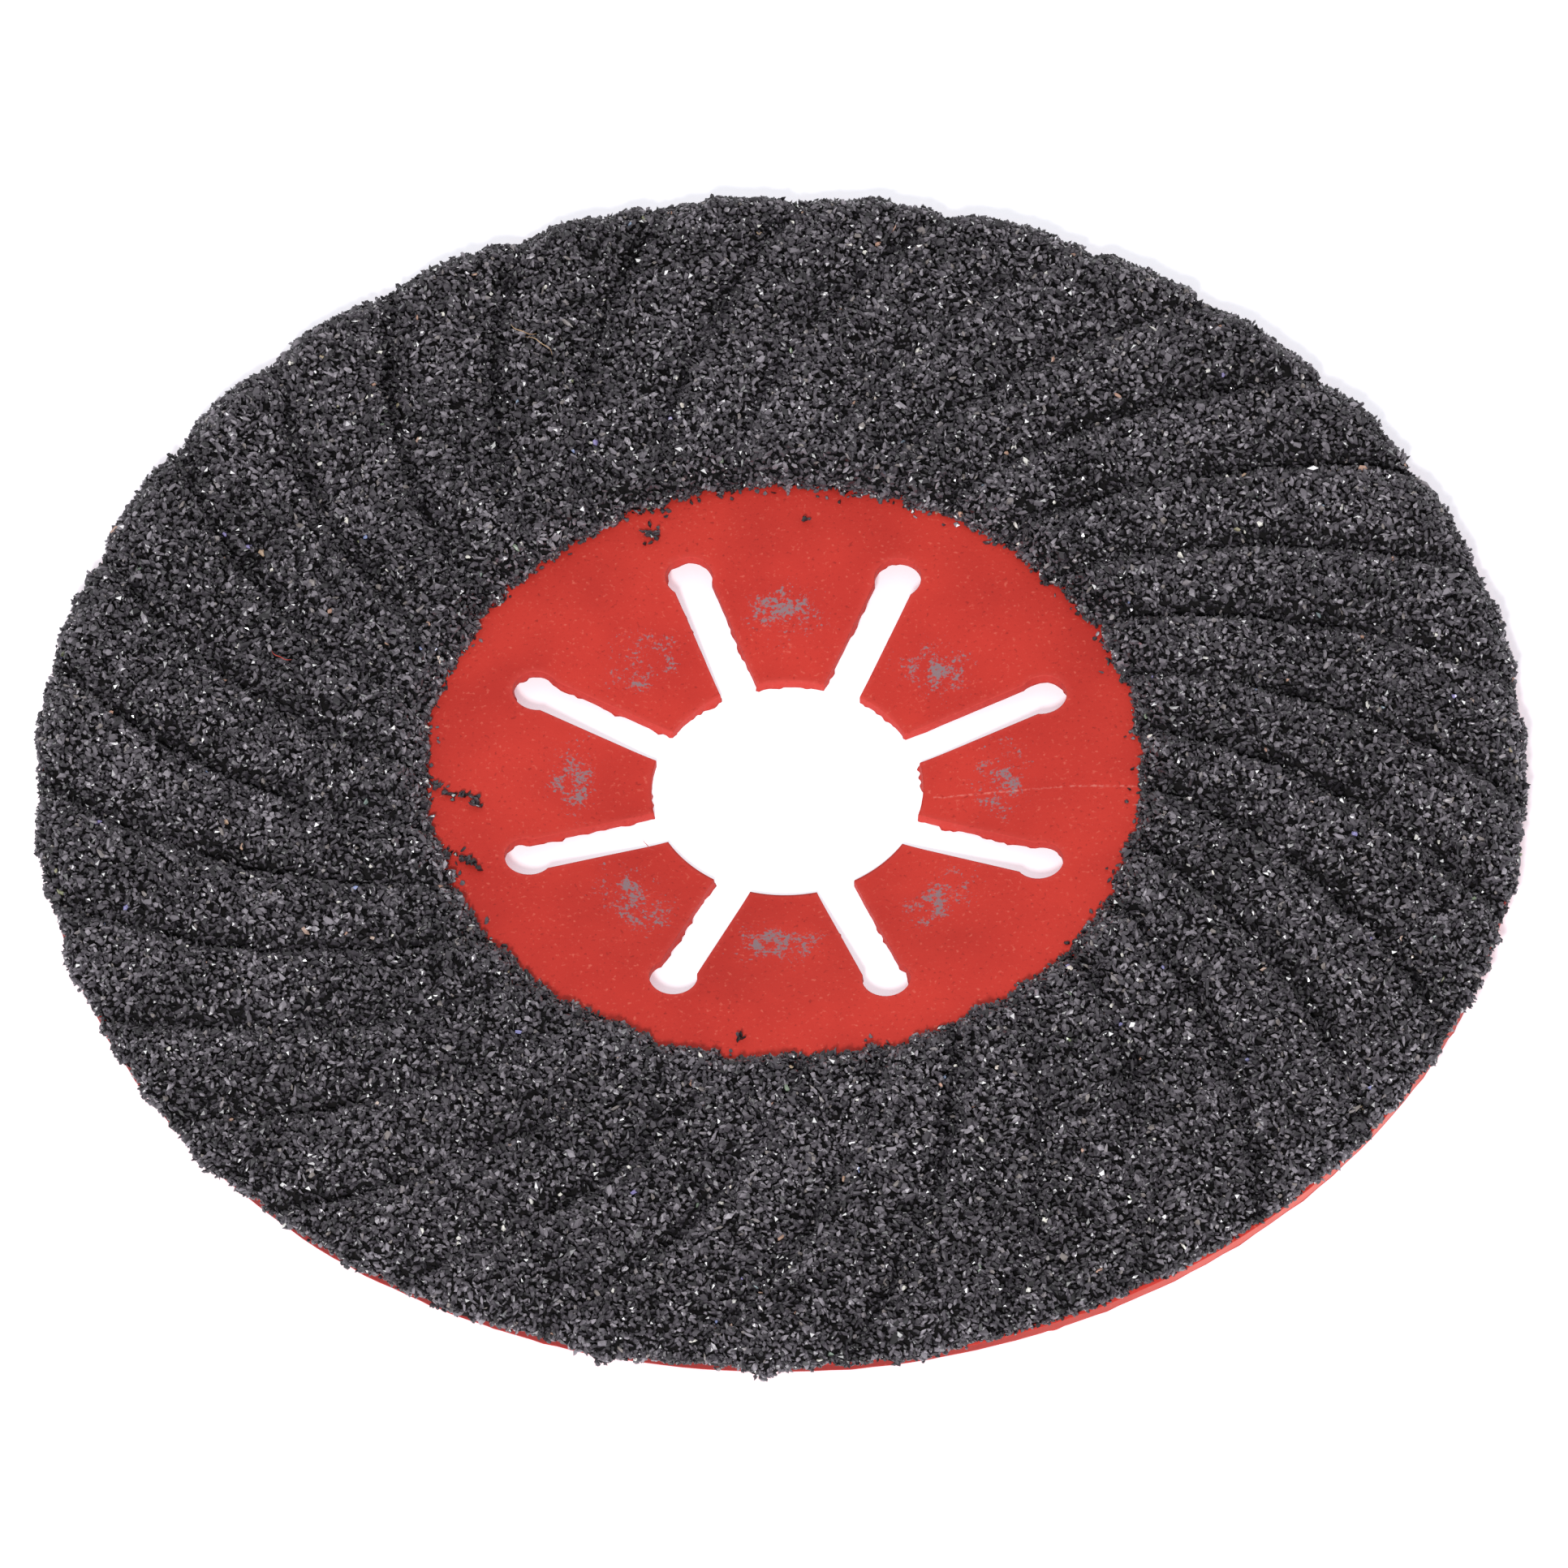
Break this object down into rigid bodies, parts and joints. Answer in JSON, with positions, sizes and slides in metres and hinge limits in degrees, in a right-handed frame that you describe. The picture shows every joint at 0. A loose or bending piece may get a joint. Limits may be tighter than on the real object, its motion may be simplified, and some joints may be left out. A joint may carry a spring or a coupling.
{
  "type": "semi-flexible grinding disc",
  "caption": "Round fibre-backed grinding disc with a ridged ring of coarse black grit and a slotted, dished red centre around a spindle hole.",
  "frame": {"origin": "on the spindle axis, level with the underside of the tongues, where the disc rests", "axes": "+Z along the spindle axis, out of the grit side; +X through the middle of one tongue"},
  "size_m": [0.1232, 0.1231, 0.0055],
  "materials": {
    "fibre": "matt red vulcanised fibre",
    "resin": "cured dark phenolic resin",
    "grit": "coarse silicon carbide grit moulded in resin",
    "grain": "silicon carbide grains held by a little resin"
  },
  "bodies": {
    "root": {"fibre_backing": "fibre", "resin_coat": "resin", "grit_ring": "grit", "grit_spur_a": "grain", "grit_spur_b": "grain", "grain_cluster": "grain", "stray_grain_a": "grain", "stray_grain_b": "grain"}
  },
  "joints": []
}
